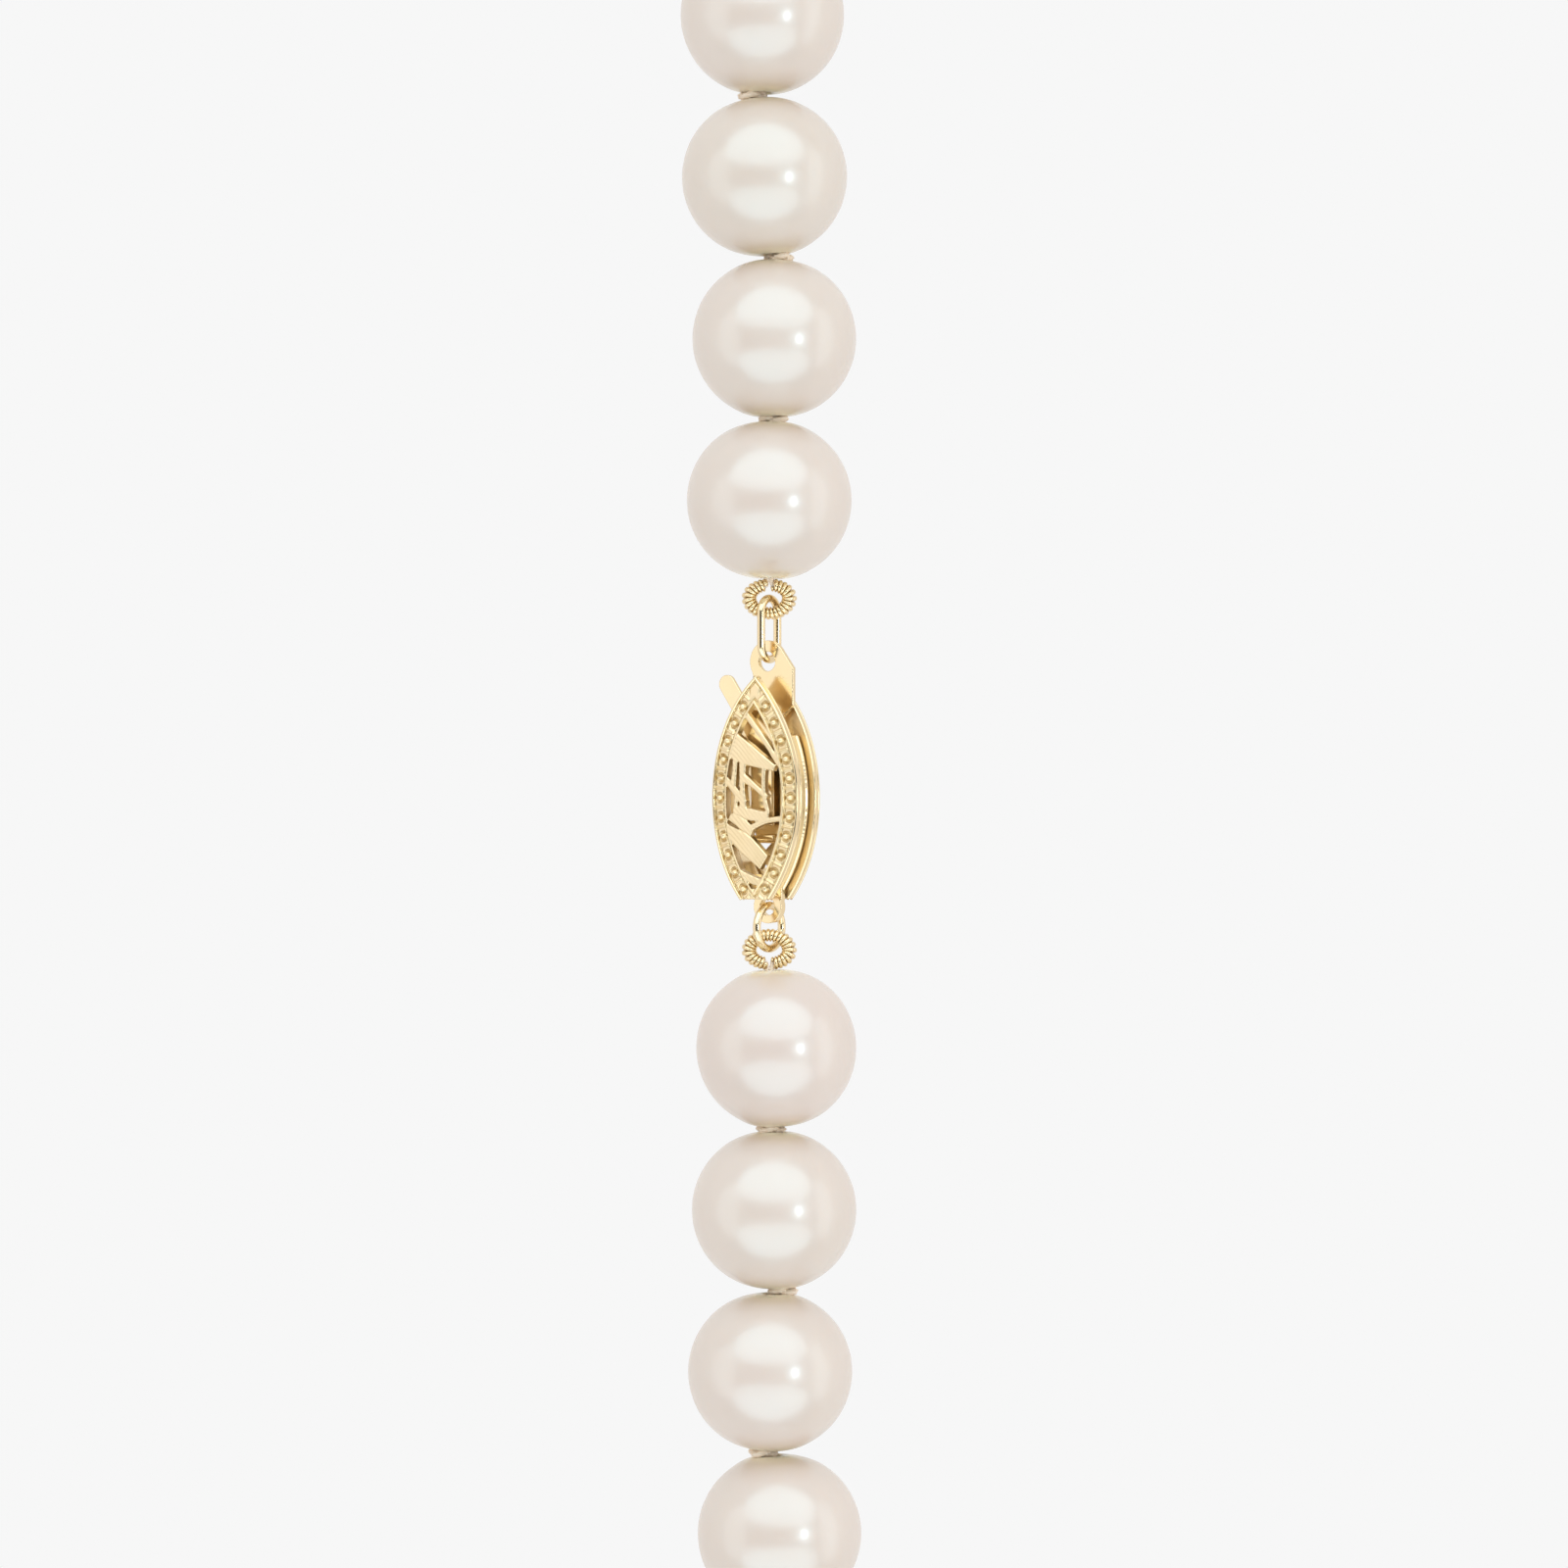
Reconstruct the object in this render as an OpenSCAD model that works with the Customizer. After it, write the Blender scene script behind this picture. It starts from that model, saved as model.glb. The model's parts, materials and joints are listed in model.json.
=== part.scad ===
// Single-strand pearl necklace, choker length, with a marquise filigree
// fish-hook clasp. It lies closed and flat: the clasp is at -X, the strand
// runs along the ground plane z = 0, and the origin is under the middle.

/* [Pearls] */
// Number of pearls on the strand, an odd number
pearl_count = 47; // [39:2:55]
// Widest diameter of a pearl, across the drill hole
pearl_w = 8.5; // [8.2:0.05:8.8]
// Length of a pearl along the drill hole
pearl_l = 8.05; // [7.9:0.05:8.2]
// Gap between two pearls, which the knot fills
knot_gap = 0.2; // [0.15:0.05:0.4]
// Radius of the drill hole
drill_r = 0.45; // [0.4:0.05:0.6]

/* [Silk] */
// Radius of the silk thread
thread_r = 0.3; // [0.2:0.05:0.35]
// Radius of a knot tied in the silk
knot_r = 0.55; // [0.45:0.05:0.6]

/* [Strand layout] */
// Straight pearls on each side of the clasp
near_run = 4; // [3:1:6]
// Pearls that turn through each half circle
arc_pearls = 14; // [12:1:16]
// Distance from the clasp's middle to the nearest pearl on each side
clasp_reach = 9.95; // [9.8:0.05:10.2]
// Roll of the clasp about the strand
clasp_roll = 35; // [0:5:60]

/* [Clasp] */
// Length of the clasp housing
housing_l = 12.3; // [12:0.1:12.6]
// Width of the clasp housing
housing_w = 5.3; // [5:0.1:5.6]
// Thickness of the front frame and of the back plate
plate_t = 0.45; // [0.35:0.05:0.5]
// Free depth between the front frame and the back plate
pocket_d = 1.1; // [1.1:0.05:1.3]
// Radius of the wire of the link and of the end ring
wire_r = 0.21; // [0.18:0.01:0.22]
// Outer radius of the coiled French wire
french_r = 0.37; // [0.3:0.01:0.38]

/* [Hidden] */
$fn = 48;
two = function(n) n < 10 ? str("0", n) : str(n);
pearl_names = [for (k = [1:pearl_count]) str("pearl_", two(k))];
clasp_names = ["clasp_front", "clasp_band", "clasp_back", "catch_bar", "end_tab", "hook_plate",
    "spring_tongue", "hook_link", "end_ring", "upper_french_wire", "lower_french_wire"];

gold = [0.88, 0.72, 0.43];
nacre = [0.93, 0.89, 0.83];
silk = [0.92, 0.87, 0.78];

// ---- strand layout: the line that the silk follows ----
axis_z = pearl_w / 2;
pitch = pearl_l + knot_gap;
middle = (pearl_count + 1) / 2;
half_count = (pearl_count - 1) / 2;
far_run = half_count - arc_pearls - near_run;
turn_step = 180 / (arc_pearls + 1);
cell_end = clasp_reach - knot_gap / 2;
arc_chord = pitch / tan(turn_step / 2);
arc_shift = asin((pitch * (far_run - near_run + 0.5) - cell_end) / arc_chord);
far_x = arc_chord * cos(arc_shift) / 2;
// Sideways wander of the strand at the knots next to the clasp, outwards from it
wander_up = [0, 0.2, 0.1, -0.4, -0.3];
wander_down = [0, 0.4, 0.2, 0.1, 0.5];

// Heading of the pearl that is i places beyond the middle one
heading_up = function(i)
    i <= far_run ? 90
    : i <= far_run + arc_pearls ? 90 + turn_step * (i - far_run) + arc_shift
    : 270;
// Knot i places beyond the middle pearl, with no wander
knot_up = function(i)
    i == 0 ? [far_x, pitch / 2]
    : knot_up(i - 1) + pitch * [cos(heading_up(i)), sin(heading_up(i))];
sideways = function(list, i)
    half_count - i < len(list) ? list[half_count - i] : 0;
// Knot k lies between pearl k and pearl k + 1; knots 0 and pearl_count are the ends
knot_at = function(k)
    k >= middle
    ? knot_up(k - middle) + [sideways(wander_up, k - middle), 0]
    : let (m = knot_up(middle - 1 - k)) [m.x + sideways(wander_down, middle - 1 - k), -m.y];
knots = [for (k = [0:pearl_count]) let (p = knot_at(k)) [p.x, p.y, axis_z]];

// ---- clasp layout, in the clasp's own frame: x across, y along, z out of the front ----
pocket_mid = 0.3;
front_z = pocket_mid + pocket_d / 2;
back_z = pocket_mid - pocket_d / 2 - plate_t;
housing_y = -1.2;
frame_w = 1.05;
band_inset = 0.35;
band_t = 0.5;
slot_y = 2;
tip_y = -6.5;
tab_top_y = -5;
tab_r = 0.9;
tab_gap_w = 2;
leaf_w = 1.6;
leaf_t = 0.3;
fold_y = -3.1;
fold_r = 0.45;
eye_y = 5.75;
eye_r = 0.5;
bar_x = -1.06;
bar_y = 1.5;
bar_r = 0.2;
link_bar_y = 6.57;
link_r = 0.72;
french_loop_r = 0.95;
french_y = 9.2;
french_end_y = 9.9;
link_l = french_y - french_loop_r - link_bar_y;
end_ring_r = 1.1;
end_ring_y = -7.8;
milgrain_r = 0.2;
milgrain_count = 9;

module pearl_solid() {
    profile_r = pearl_l / 2;
    mouth_r = 0.85;
    mouth_d = 0.3;
    difference() {
        rotate_extrude($fn = 96)
            intersection() {
                translate([(pearl_w - pearl_l) / 2, 0]) circle(profile_r, $fn = 96);
                translate([0, -pearl_l]) square([pearl_w, 2 * pearl_l]);
            }
        cylinder(h = 2 * pearl_l, r = drill_r, center = true);
        for (s = [0, 1])
            mirror([0, 0, s])
                translate([0, 0, pearl_l / 2 - mouth_d])
                    cylinder(h = mouth_d + 0.01, r1 = drill_r, r2 = mouth_r);
    }
}

// Pearl k, between knot k - 1 and knot k
module pearl(k) {
    along = knots[k] - knots[k - 1];
    color(nacre)
        translate((knots[k] + knots[k - 1]) / 2)
            rotate([0, 90, atan2(along.y, along.x)])
                pearl_solid();
}

// One silk thread, swept through every pearl, with a knot swelling between each two
module silk_thread() {
    sides = 8;
    knot_half = 0.22;
    steps = [[-1, thread_r], [0, knot_r], [1, thread_r]];
    headings = [for (k = [1:pearl_count]) let (a = knots[k] - knots[k - 1]) atan2(a.y, a.x)];
    mid_heading = function(k) let (
        a = headings[k - 1], b = headings[k], d = (b - a + 540) % 360 - 180) a + d / 2;
    // The ends are cut off inside the drill holes of the end pearls
    end_trim = 0.3;
    dir_of = function(h) [cos(h), sin(h), 0];
    stations = concat(
        [[knots[0] + end_trim * dir_of(headings[0]), headings[0], thread_r]],
        [for (k = [1:pearl_count - 1]) for (s = steps)
            let (h = mid_heading(k))
            [knots[k] + s[0] * knot_half * dir_of(h), h, s[1]]],
        [[knots[pearl_count] - end_trim * dir_of(headings[pearl_count - 1]),
            headings[pearl_count - 1], thread_r]]);
    ring = function(s) [for (j = [0:sides - 1]) let (a = 360 * j / sides)
        s[0] + s[2] * [-sin(s[1]) * cos(a), cos(s[1]) * cos(a), sin(a)]];
    points = [for (s = stations) each ring(s)];
    last = len(stations) - 1;
    walls = [for (i = [0:last - 1]) for (j = [0:sides - 1])
        let (a = i * sides + j, b = i * sides + (j + 1) % sides)
        [a, b, b + sides, a + sides]];
    caps = [[for (j = [sides - 1:-1:0]) j], [for (j = [0:sides - 1]) last * sides + j]];
    color(silk) polyhedron(points, concat(walls, caps));
}

module on_clasp() {
    translate([-far_x, 0, axis_z]) rotate([0, -clasp_roll, 0]) children();
}

// Pointed oval outline, inset by a margin
module marquise(inset = 0) {
    half_l = housing_l / 2;
    half_w = housing_w / 2;
    r = (half_l * half_l + half_w * half_w) / (2 * half_w);
    intersection_for(s = [-1, 1])
        translate([s * (r - half_w), housing_y]) circle(r - inset, $fn = 96);
}

// Marquise plate, squared off short of the end ring
module marquise_plate(inset = 0) {
    intersection() {
        marquise(inset);
        translate([-housing_w, tip_y]) square([2 * housing_w, housing_l]);
    }
}

module clasp_front() {
    bar_w = 0.42;
    opening_half = housing_l / 2 - 2.4;
    half_l = housing_l / 2;
    half_w = housing_w / 2;
    side_r = (half_l * half_l + half_w * half_w) / (2 * half_w);
    color(gold) on_clasp() {
        translate([0, 0, front_z]) {
            linear_extrude(plate_t)
                difference() {
                    marquise_plate();
                    marquise(frame_w);
                }
            linear_extrude(plate_t * 0.8)
                intersection() {
                    marquise(frame_w - 0.1);
                    union() {
                        for (s = [-1, 1], i = [-2:2])
                            translate([0, housing_y + i * opening_half * 0.5])
                                rotate(s * 38) square([housing_w, bar_w], center = true);
                        translate([0, housing_y]) square([bar_w, housing_l], center = true);
                    }
                }
        }
        // Milgrain beads along both sides of the frame
        for (s = [-1, 1], i = [0:milgrain_count - 1])
            let (a = (i - (milgrain_count - 1) / 2) * 8.2)
            translate([s * ((side_r - frame_w / 2) * cos(a) - side_r + half_w),
                    housing_y + (side_r - frame_w / 2) * sin(a), front_z + plate_t])
                sphere(milgrain_r, $fn = 24);
    }
}

module clasp_band() {
    color(gold) on_clasp()
        translate([0, 0, front_z - pocket_d])
            linear_extrude(pocket_d)
                difference() {
                    marquise_plate(band_inset);
                    marquise(band_inset + band_t);
                    translate([-housing_w, slot_y]) square([2 * housing_w, housing_l]);
                    translate([-tab_gap_w / 2, -housing_l]) square([tab_gap_w, housing_l + tab_top_y + 0.1]);
                }
}

module clasp_back() {
    color(gold) on_clasp()
        translate([0, 0, back_z]) linear_extrude(plate_t) marquise_plate();
}

// Bar beside the hook's leaf, which has a shallow notch that clears it. It doesn't hold the hook
module catch_bar() {
    color(gold) on_clasp()
        translate([bar_x, bar_y, front_z - pocket_d]) cylinder(h = pocket_d, r = bar_r);
}

// Eye plate held in the lower end of the band
module end_tab() {
    tab_t = 0.45;
    eye_at = -6.7;
    color(gold) on_clasp()
        translate([0, 0, back_z + plate_t])
            linear_extrude(tab_t)
                difference() {
                    union() {
                        translate([-tab_r, eye_at]) square([2 * tab_r, tab_top_y - eye_at]);
                        translate([0, eye_at]) circle(tab_r);
                    }
                    translate([0, eye_at - 0.05]) circle(0.45);
                }
}

// Flat leaf of the hook, with its eye, its shoulder and the fold at its inner end
module hook_plate() {
    color(gold) on_clasp() {
        translate([0, 0, -leaf_t / 2])
            linear_extrude(leaf_t)
                difference() {
                    union() {
                        translate([-leaf_w / 2, fold_y]) square([leaf_w, 8.2]);
                        translate([-0.15, eye_y]) circle(1.15);
                        polygon([[0.3, 6.65], [1.55, 5.35], [1.55, 3.5], [0.8, 2.7]]);
                    }
                    translate([0, eye_y]) circle(eye_r);
                    translate([bar_x, bar_y]) circle(bar_r + 0.14);
                }
        translate([0, fold_y, pocket_mid]) rotate([0, 90, 0])
            cylinder(h = leaf_w, r = fold_r, center = true);
    }
}

// Upper leaf that springs from the fold, with the thumb lever on its end
module spring_tongue() {
    tongue_t = 0.25;
    lever_tip = [-2.2, 4.6];
    lever_lean = 55.6;
    lever_w = 1;
    lever_l = 3.27;
    color(gold) on_clasp()
        translate([0, 0, pocket_mid + 0.15])
            linear_extrude(tongue_t) {
                translate([-0.7, fold_y + fold_r + 0.05]) square([1.4, 6]);
                translate(lever_tip) rotate(-lever_lean) translate([0, -lever_w / 2])
                    square([lever_l, lever_w]);
                translate(lever_tip) circle(lever_w / 2);
            }
}

// Oval link that joins the hook's eye to the upper French wire
module hook_link() {
    color(gold) on_clasp() {
        for (s = [0, 1])
            translate([0, link_bar_y + s * link_l, 0]) rotate([0, 90, 0]) rotate(s * 180 - 180)
                half_ring(link_r, wire_r);
        for (s = [-1, 1])
            translate([0, link_bar_y, s * link_r]) rotate([-90, 0, 0])
                cylinder(h = link_l, r = wire_r);
    }
}

// Half a torus in the plane z = 0, on the side of +Y
module half_ring(ring_r, tube_r) {
    rotate_extrude(angle = 180) translate([ring_r, 0]) circle(tube_r);
}

module end_ring() {
    color(gold) on_clasp()
        translate([0, end_ring_y, 0]) rotate([0, 90, 0])
            rotate_extrude() translate([end_ring_r, 0]) circle(wire_r);
}

// Loop of French wire that stands on the end pearl; side is 1 above the clasp and -1 below
module french_wire(side) {
    color(gold)
        translate([-far_x, 0, axis_z]) mirror([0, side < 0 ? 1 : 0, 0])
            difference() {
                translate([0, french_y, 0])
                    rotate_extrude() translate([french_loop_r, 0]) circle(french_r);
                translate([-3, french_end_y, -3]) cube([6, 6, 6]);
            }
}

clasp_front();
clasp_band();
clasp_back();
catch_bar();
end_tab();
hook_plate();
spring_tongue();
hook_link();
end_ring();
french_wire(1);  // upper_french_wire
french_wire(-1);  // lower_french_wire
silk_thread();
for (k = [1:pearl_count])
    pearl(k);
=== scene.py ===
"""Looks for the pearl necklace: nacre, knotted silk, coiled French wire and a cast gold filigree clasp.

The pearls, the knots and the clasp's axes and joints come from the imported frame. Lengths are in
millimetres while a piece is built, and in metres in its mesh, in the materials and in the studio.
The clasp is built in its own frame: x across it, y along the strand, z out of its front.
"""

import json
import math

import bpy
import numpy as np
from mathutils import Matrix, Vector


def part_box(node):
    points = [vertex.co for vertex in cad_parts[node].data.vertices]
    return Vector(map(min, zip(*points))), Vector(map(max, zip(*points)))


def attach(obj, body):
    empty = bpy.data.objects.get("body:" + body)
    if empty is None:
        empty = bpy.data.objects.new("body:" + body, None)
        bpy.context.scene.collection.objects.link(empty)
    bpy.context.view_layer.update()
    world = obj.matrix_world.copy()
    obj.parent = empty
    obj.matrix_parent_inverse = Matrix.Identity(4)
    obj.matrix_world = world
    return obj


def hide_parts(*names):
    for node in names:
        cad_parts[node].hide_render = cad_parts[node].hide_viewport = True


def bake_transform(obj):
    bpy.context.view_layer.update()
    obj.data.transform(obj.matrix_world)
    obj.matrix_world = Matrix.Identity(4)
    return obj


MM = 0.001
TAU = 2 * math.pi
PEARLS = 47
OPEN_KNOT = 24  # the knot where the frame's tree of joints is opened

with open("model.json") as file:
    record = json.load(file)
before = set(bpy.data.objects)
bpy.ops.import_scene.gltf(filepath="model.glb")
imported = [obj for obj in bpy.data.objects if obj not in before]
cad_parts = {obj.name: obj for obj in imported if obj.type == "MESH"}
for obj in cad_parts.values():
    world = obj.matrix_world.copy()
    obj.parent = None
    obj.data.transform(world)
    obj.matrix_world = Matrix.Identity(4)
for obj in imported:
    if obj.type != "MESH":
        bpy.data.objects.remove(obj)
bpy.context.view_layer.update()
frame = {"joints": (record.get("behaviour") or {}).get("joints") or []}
joints = {j["name"]: j for j in frame["joints"]}
scene = bpy.context.scene


# ---------------------------------------------------------------- places from the frame


def joint_at(name):
    return np.array(joints[name]["pos_m"]) / MM


def knot_places():
    """Knot k, between pearl k and pearl k + 1, in millimetres. The open knot has no joint."""
    return {int(n.split("_")[1]): joint_at(n) for n in joints if n.startswith("knot_")}


def pearl_place(k, knots):
    """(centre of pearl k, direction of its drill hole towards knot k), in millimetres."""
    low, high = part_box(f"pearl_{k:02d}")
    centre = np.array((low + high) / 2) / MM
    along = knots[k] - centre if k in knots else centre - knots[k - 1]
    return centre, along / np.linalg.norm(along)


knots = knot_places()
pearls = {k: pearl_place(k, knots) for k in range(1, PEARLS + 1)}
HALF_PITCH = float(np.linalg.norm(knots[1] - pearls[1][0]))
knots[OPEN_KNOT] = pearls[OPEN_KNOT][0] + HALF_PITCH * pearls[OPEN_KNOT][1]

clasp_across = np.array(joints["link_swing"]["axis"])
clasp_along = np.array([0.0, 1.0, 0.0])
clasp_out = np.cross(clasp_across, clasp_along)
clasp_middle = joint_at("link_swing") * np.array([1, 0, 1])
LINK_BAR_Y = float(joint_at("link_swing")[1])
FRENCH_LOW_Y = float(joint_at("upper_wire_swing")[1])
END_EYE_Y = float(joint_at("ring_swing")[1])
FOLD_Y = float(joint_at("tongue_press")[1])
CLASP_FRAME = np.stack([clasp_across, clasp_along, clasp_out])


# ---------------------------------------------------------------- mesh helpers


def make_mesh(name, points, faces):
    """A smooth-shaded mesh object. points are in millimetres in the row frame."""
    mesh = bpy.data.meshes.new(name)
    mesh.from_pydata((np.asarray(points) * MM).tolist(), [], [tuple(f) for f in faces])
    mesh.polygons.foreach_set("use_smooth", [True] * len(mesh.polygons))
    mesh.update()
    obj = bpy.data.objects.new(name, mesh)
    scene.collection.objects.link(obj)
    return obj


def grid_faces(rows, columns, close_rows, close_columns):
    """Quads over a grid of points stored row by row."""
    faces = []
    for i in range(rows if close_rows else rows - 1):
        for j in range(columns if close_columns else columns - 1):
            i2, j2 = (i + 1) % rows, (j + 1) % columns
            faces.append((i * columns + j, i * columns + j2, i2 * columns + j2, i2 * columns + j))
    return faces


def carried_frames(path, closed):
    """Unit tangents and two carried normals along a path."""
    path = np.asarray(path, float)
    if closed:
        ahead, behind = np.roll(path, -1, 0), np.roll(path, 1, 0)
        tangents = ahead - behind
    else:
        tangents = np.gradient(path, axis=0)
    tangents /= np.linalg.norm(tangents, axis=1)[:, None]
    seed = np.array([0.0, 0.0, 1.0]) if abs(tangents[0][2]) < 0.9 else np.array([1.0, 0.0, 0.0])
    normal = np.cross(np.cross(tangents[0], seed), tangents[0])
    normals = []
    for t in tangents:
        normal = normal - (normal @ t) * t
        normal = normal / np.linalg.norm(normal)
        normals.append(normal)
    normals = np.array(normals)
    return tangents, normals, np.cross(tangents, normals)


def tube(path, radius, sides=16, closed=False, lobes=0, lobe_depth=0.0, twist=0.0):
    """(points, faces) of a tube. lobes and twist, in turns per millimetre, ply it like thread."""
    path = np.asarray(path, float)
    _, normals, binormals = carried_frames(path, closed)
    steps = np.linalg.norm(np.diff(path, axis=0), axis=1)
    run = np.concatenate([[0], np.cumsum(steps)])
    angle = np.arange(sides) * TAU / sides
    radii = np.broadcast_to(radius, len(path))[:, None] * (
        1 + lobe_depth * np.cos(lobes * (angle[None, :] - TAU * twist * run[:, None]))
    )
    points = (
        path[:, None, :]
        + radii[..., None] * np.cos(angle)[None, :, None] * normals[:, None, :]
        + radii[..., None] * np.sin(angle)[None, :, None] * binormals[:, None, :]
    ).reshape(-1, 3)
    faces = grid_faces(len(path), sides, closed, True)
    if not closed:
        last = (len(path) - 1) * sides
        faces.append(tuple(range(sides))[::-1])
        faces.append(tuple(last + j for j in range(sides)))
    return points, faces


def merged(solids):
    """One (points, faces) from several."""
    points, faces, start = [], [], 0
    for p, f in solids:
        points.append(np.asarray(p, float))
        faces += [tuple(start + i for i in face) for face in f]
        start += len(p)
    return np.concatenate(points), faces


def prism(outline, low, high):
    """Closed solid over an outline that is convex or nearly so."""
    n = len(outline)
    outline = np.asarray(outline, float)
    points = np.concatenate(
        [np.column_stack([outline, np.full(n, low)]), np.column_stack([outline, np.full(n, high)])]
    )
    faces = [tuple(range(n))[::-1], tuple(range(n, 2 * n))]
    faces += [(i, (i + 1) % n, n + (i + 1) % n, n + i) for i in range(n)]
    return points, faces


def disc(centre, radius, low, high, sides=40):
    angle = np.arange(sides) * TAU / sides
    outline = np.column_stack([centre[0] + radius * np.cos(angle), centre[1] + radius * np.sin(angle)])
    return prism(outline, low, high)


def annulus(centre, inner, outer, low, high, sides=56):
    """Flat washer."""
    angle = np.arange(sides) * TAU / sides
    rings = [
        np.column_stack(
            [centre[0] + r * np.cos(angle), centre[1] + r * np.sin(angle), np.full(sides, z)]
        )
        for r, z in ((inner, low), (outer, low), (outer, high), (inner, high))
    ]
    return np.concatenate(rings), grid_faces(4, sides, True, True)


def to_row(points):
    """From the clasp's own frame to the row frame."""
    return np.asarray(points) @ CLASP_FRAME + clasp_middle


def apply_modifiers(obj):
    """Replaces an object's mesh with what its modifiers make of it."""
    bpy.context.view_layer.update()
    mesh = bpy.data.meshes.new_from_object(obj.evaluated_get(bpy.context.evaluated_depsgraph_get()))
    obj.modifiers.clear()
    old, obj.data = obj.data, mesh
    mesh.name = obj.name
    bpy.data.meshes.remove(old)


def reshape(obj, shape):
    """Moves an object's points by a function of them all."""
    co = np.empty(len(obj.data.vertices) * 3)
    obj.data.vertices.foreach_get("co", co)
    obj.data.vertices.foreach_set("co", shape(co.reshape(-1, 3)).ravel())
    obj.data.update()


def cast(name, solids, voxel=0.04, smooth=4, shape=None, keep=0.4):
    """One piece of metal from overlapping closed solids, fused and softened as a casting is.
    It is worked on with one Blender unit to the millimetre, because a remesh can't go finer in metres."""
    points, faces = merged(solids)
    obj = make_mesh(name, points / MM, faces)
    fuse = obj.modifiers.new("fuse", "REMESH")
    fuse.mode = "VOXEL"
    fuse.voxel_size = voxel
    soften = obj.modifiers.new("soften", "SMOOTH")
    soften.factor = 0.5
    soften.iterations = smooth
    apply_modifiers(obj)
    if shape:
        reshape(obj, shape)
    thin = obj.modifiers.new("thin", "DECIMATE")
    thin.ratio = keep
    apply_modifiers(obj)
    reshape(obj, lambda co: to_row(co) * MM)
    obj.data.polygons.foreach_set("use_smooth", [True] * len(obj.data.polygons))
    return obj


def finish_piece(obj, body, material, slot, *nodes):
    """Material, body and the CAD nodes that the piece stands for. The slot argument is not used."""
    obj.data.materials.clear()
    obj.data.materials.append(material)
    if isinstance(body, str):
        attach(obj, body)
    if nodes:
        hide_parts(*nodes)
    return obj


# ---------------------------------------------------------------- materials


class Nodes:
    """Short names for building a material's node tree."""

    def __init__(self, name):
        self.material = bpy.data.materials.new(name)
        self.material.use_nodes = True
        self.tree = self.material.node_tree
        self.shader = self.tree.nodes["Principled BSDF"]
        coordinates = self.tree.nodes.new("ShaderNodeTexCoord")
        self.place = coordinates.outputs["Object"]

    def link(self, a, b):
        self.tree.links.new(a, b)

    def noise(self, scale, detail=3.0, roughness=0.5, stretch=None):
        place = self.place
        if stretch:
            mapping = self.tree.nodes.new("ShaderNodeMapping")
            mapping.inputs["Scale"].default_value = stretch
            self.link(place, mapping.inputs["Vector"])
            place = mapping.outputs["Vector"]
        node = self.tree.nodes.new("ShaderNodeTexNoise")
        node.inputs["Scale"].default_value = scale
        node.inputs["Detail"].default_value = detail
        node.inputs["Roughness"].default_value = roughness
        self.link(place, node.inputs["Vector"])
        return node.outputs["Fac"]

    def openness(self, reach):
        """1 on open metal, falling towards 0 in hollows narrower than reach, in metres."""
        node = self.tree.nodes.new("ShaderNodeAmbientOcclusion")
        node.samples = 8
        node.only_local = True
        node.inputs["Distance"].default_value = reach
        return node.outputs["AO"]

    def attribute(self, name):
        node = self.tree.nodes.new("ShaderNodeAttribute")
        node.attribute_name = name
        return node.outputs["Fac"]

    def ramp(self, value, low, high, out_low=0.0, out_high=1.0):
        node = self.tree.nodes.new("ShaderNodeMapRange")
        node.inputs["From Min"].default_value = low
        node.inputs["From Max"].default_value = high
        node.inputs["To Min"].default_value = out_low
        node.inputs["To Max"].default_value = out_high
        self.link(value, node.inputs["Value"])
        return node.outputs["Result"]

    def mix(self, factor, a, b):
        """A colour between a and b; either may be a colour or a socket."""
        node = self.tree.nodes.new("ShaderNodeMix")
        node.data_type = "RGBA"
        self.link(factor, node.inputs[0])
        for socket, value in ((node.inputs[6], a), (node.inputs[7], b)):
            if isinstance(value, bpy.types.NodeSocket):
                self.link(value, socket)
            else:
                socket.default_value = (*value, 1.0)
        return node.outputs[2]

    def bump(self, height, strength, distance):
        node = self.tree.nodes.new("ShaderNodeBump")
        node.inputs["Strength"].default_value = strength
        node.inputs["Distance"].default_value = distance
        self.link(height, node.inputs["Height"])
        self.link(node.outputs["Normal"], self.shader.inputs["Normal"])

    def set(self, **values):
        for name, value in values.items():
            self.shader.inputs[name.replace("_", " ")].default_value = value


def nacre():
    """Cream nacre with pink and green casts and cool reflections, warmer at the drill holes, and paler there
    as painted light on the shaded gaps between pearls.
    """
    n = Nodes("nacre")
    cloud = n.ramp(n.noise(170, 1), 0.1, 0.9)
    body = n.mix(cloud, (0.69, 0.55, 0.46), (0.73, 0.60, 0.52))
    pink_green = n.mix(n.attribute("tone"), (0.74, 0.56, 0.495), (0.675, 0.59, 0.47))
    tinted = n.mix(n.ramp(n.noise(120, 1), 0.1, 0.9, 0.1, 0.8), body, pink_green)
    warm = n.mix(n.attribute("mouth"), tinted, (0.70, 0.52, 0.29))
    # painted light: paler near the drill holes, to brighten the shaded gaps between pearls
    pale = n.mix(n.ramp(n.attribute("mouth"), 0.25, 0.75), warm, (0.98, 0.86, 0.68))
    n.link(pale, n.shader.inputs["Base Color"])
    n.link(n.ramp(n.noise(500, 1), 0.0, 1.0, 0.285, 0.38), n.shader.inputs["Roughness"])
    n.bump(n.noise(1400, 2, 0.5), 0.03, 0.00002)
    n.set(IOR=2.2, Coat_Weight=0.6, Coat_Roughness=0.13, Coat_IOR=1.5, Subsurface_Weight=0.2)
    n.set(Subsurface_Scale=0.0008)
    n.shader.inputs["Specular Tint"].default_value = (0.66, 0.93, 1.0, 1.0)
    n.shader.inputs["Subsurface Radius"].default_value = (1.0, 0.75, 0.55)
    return n.material


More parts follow.
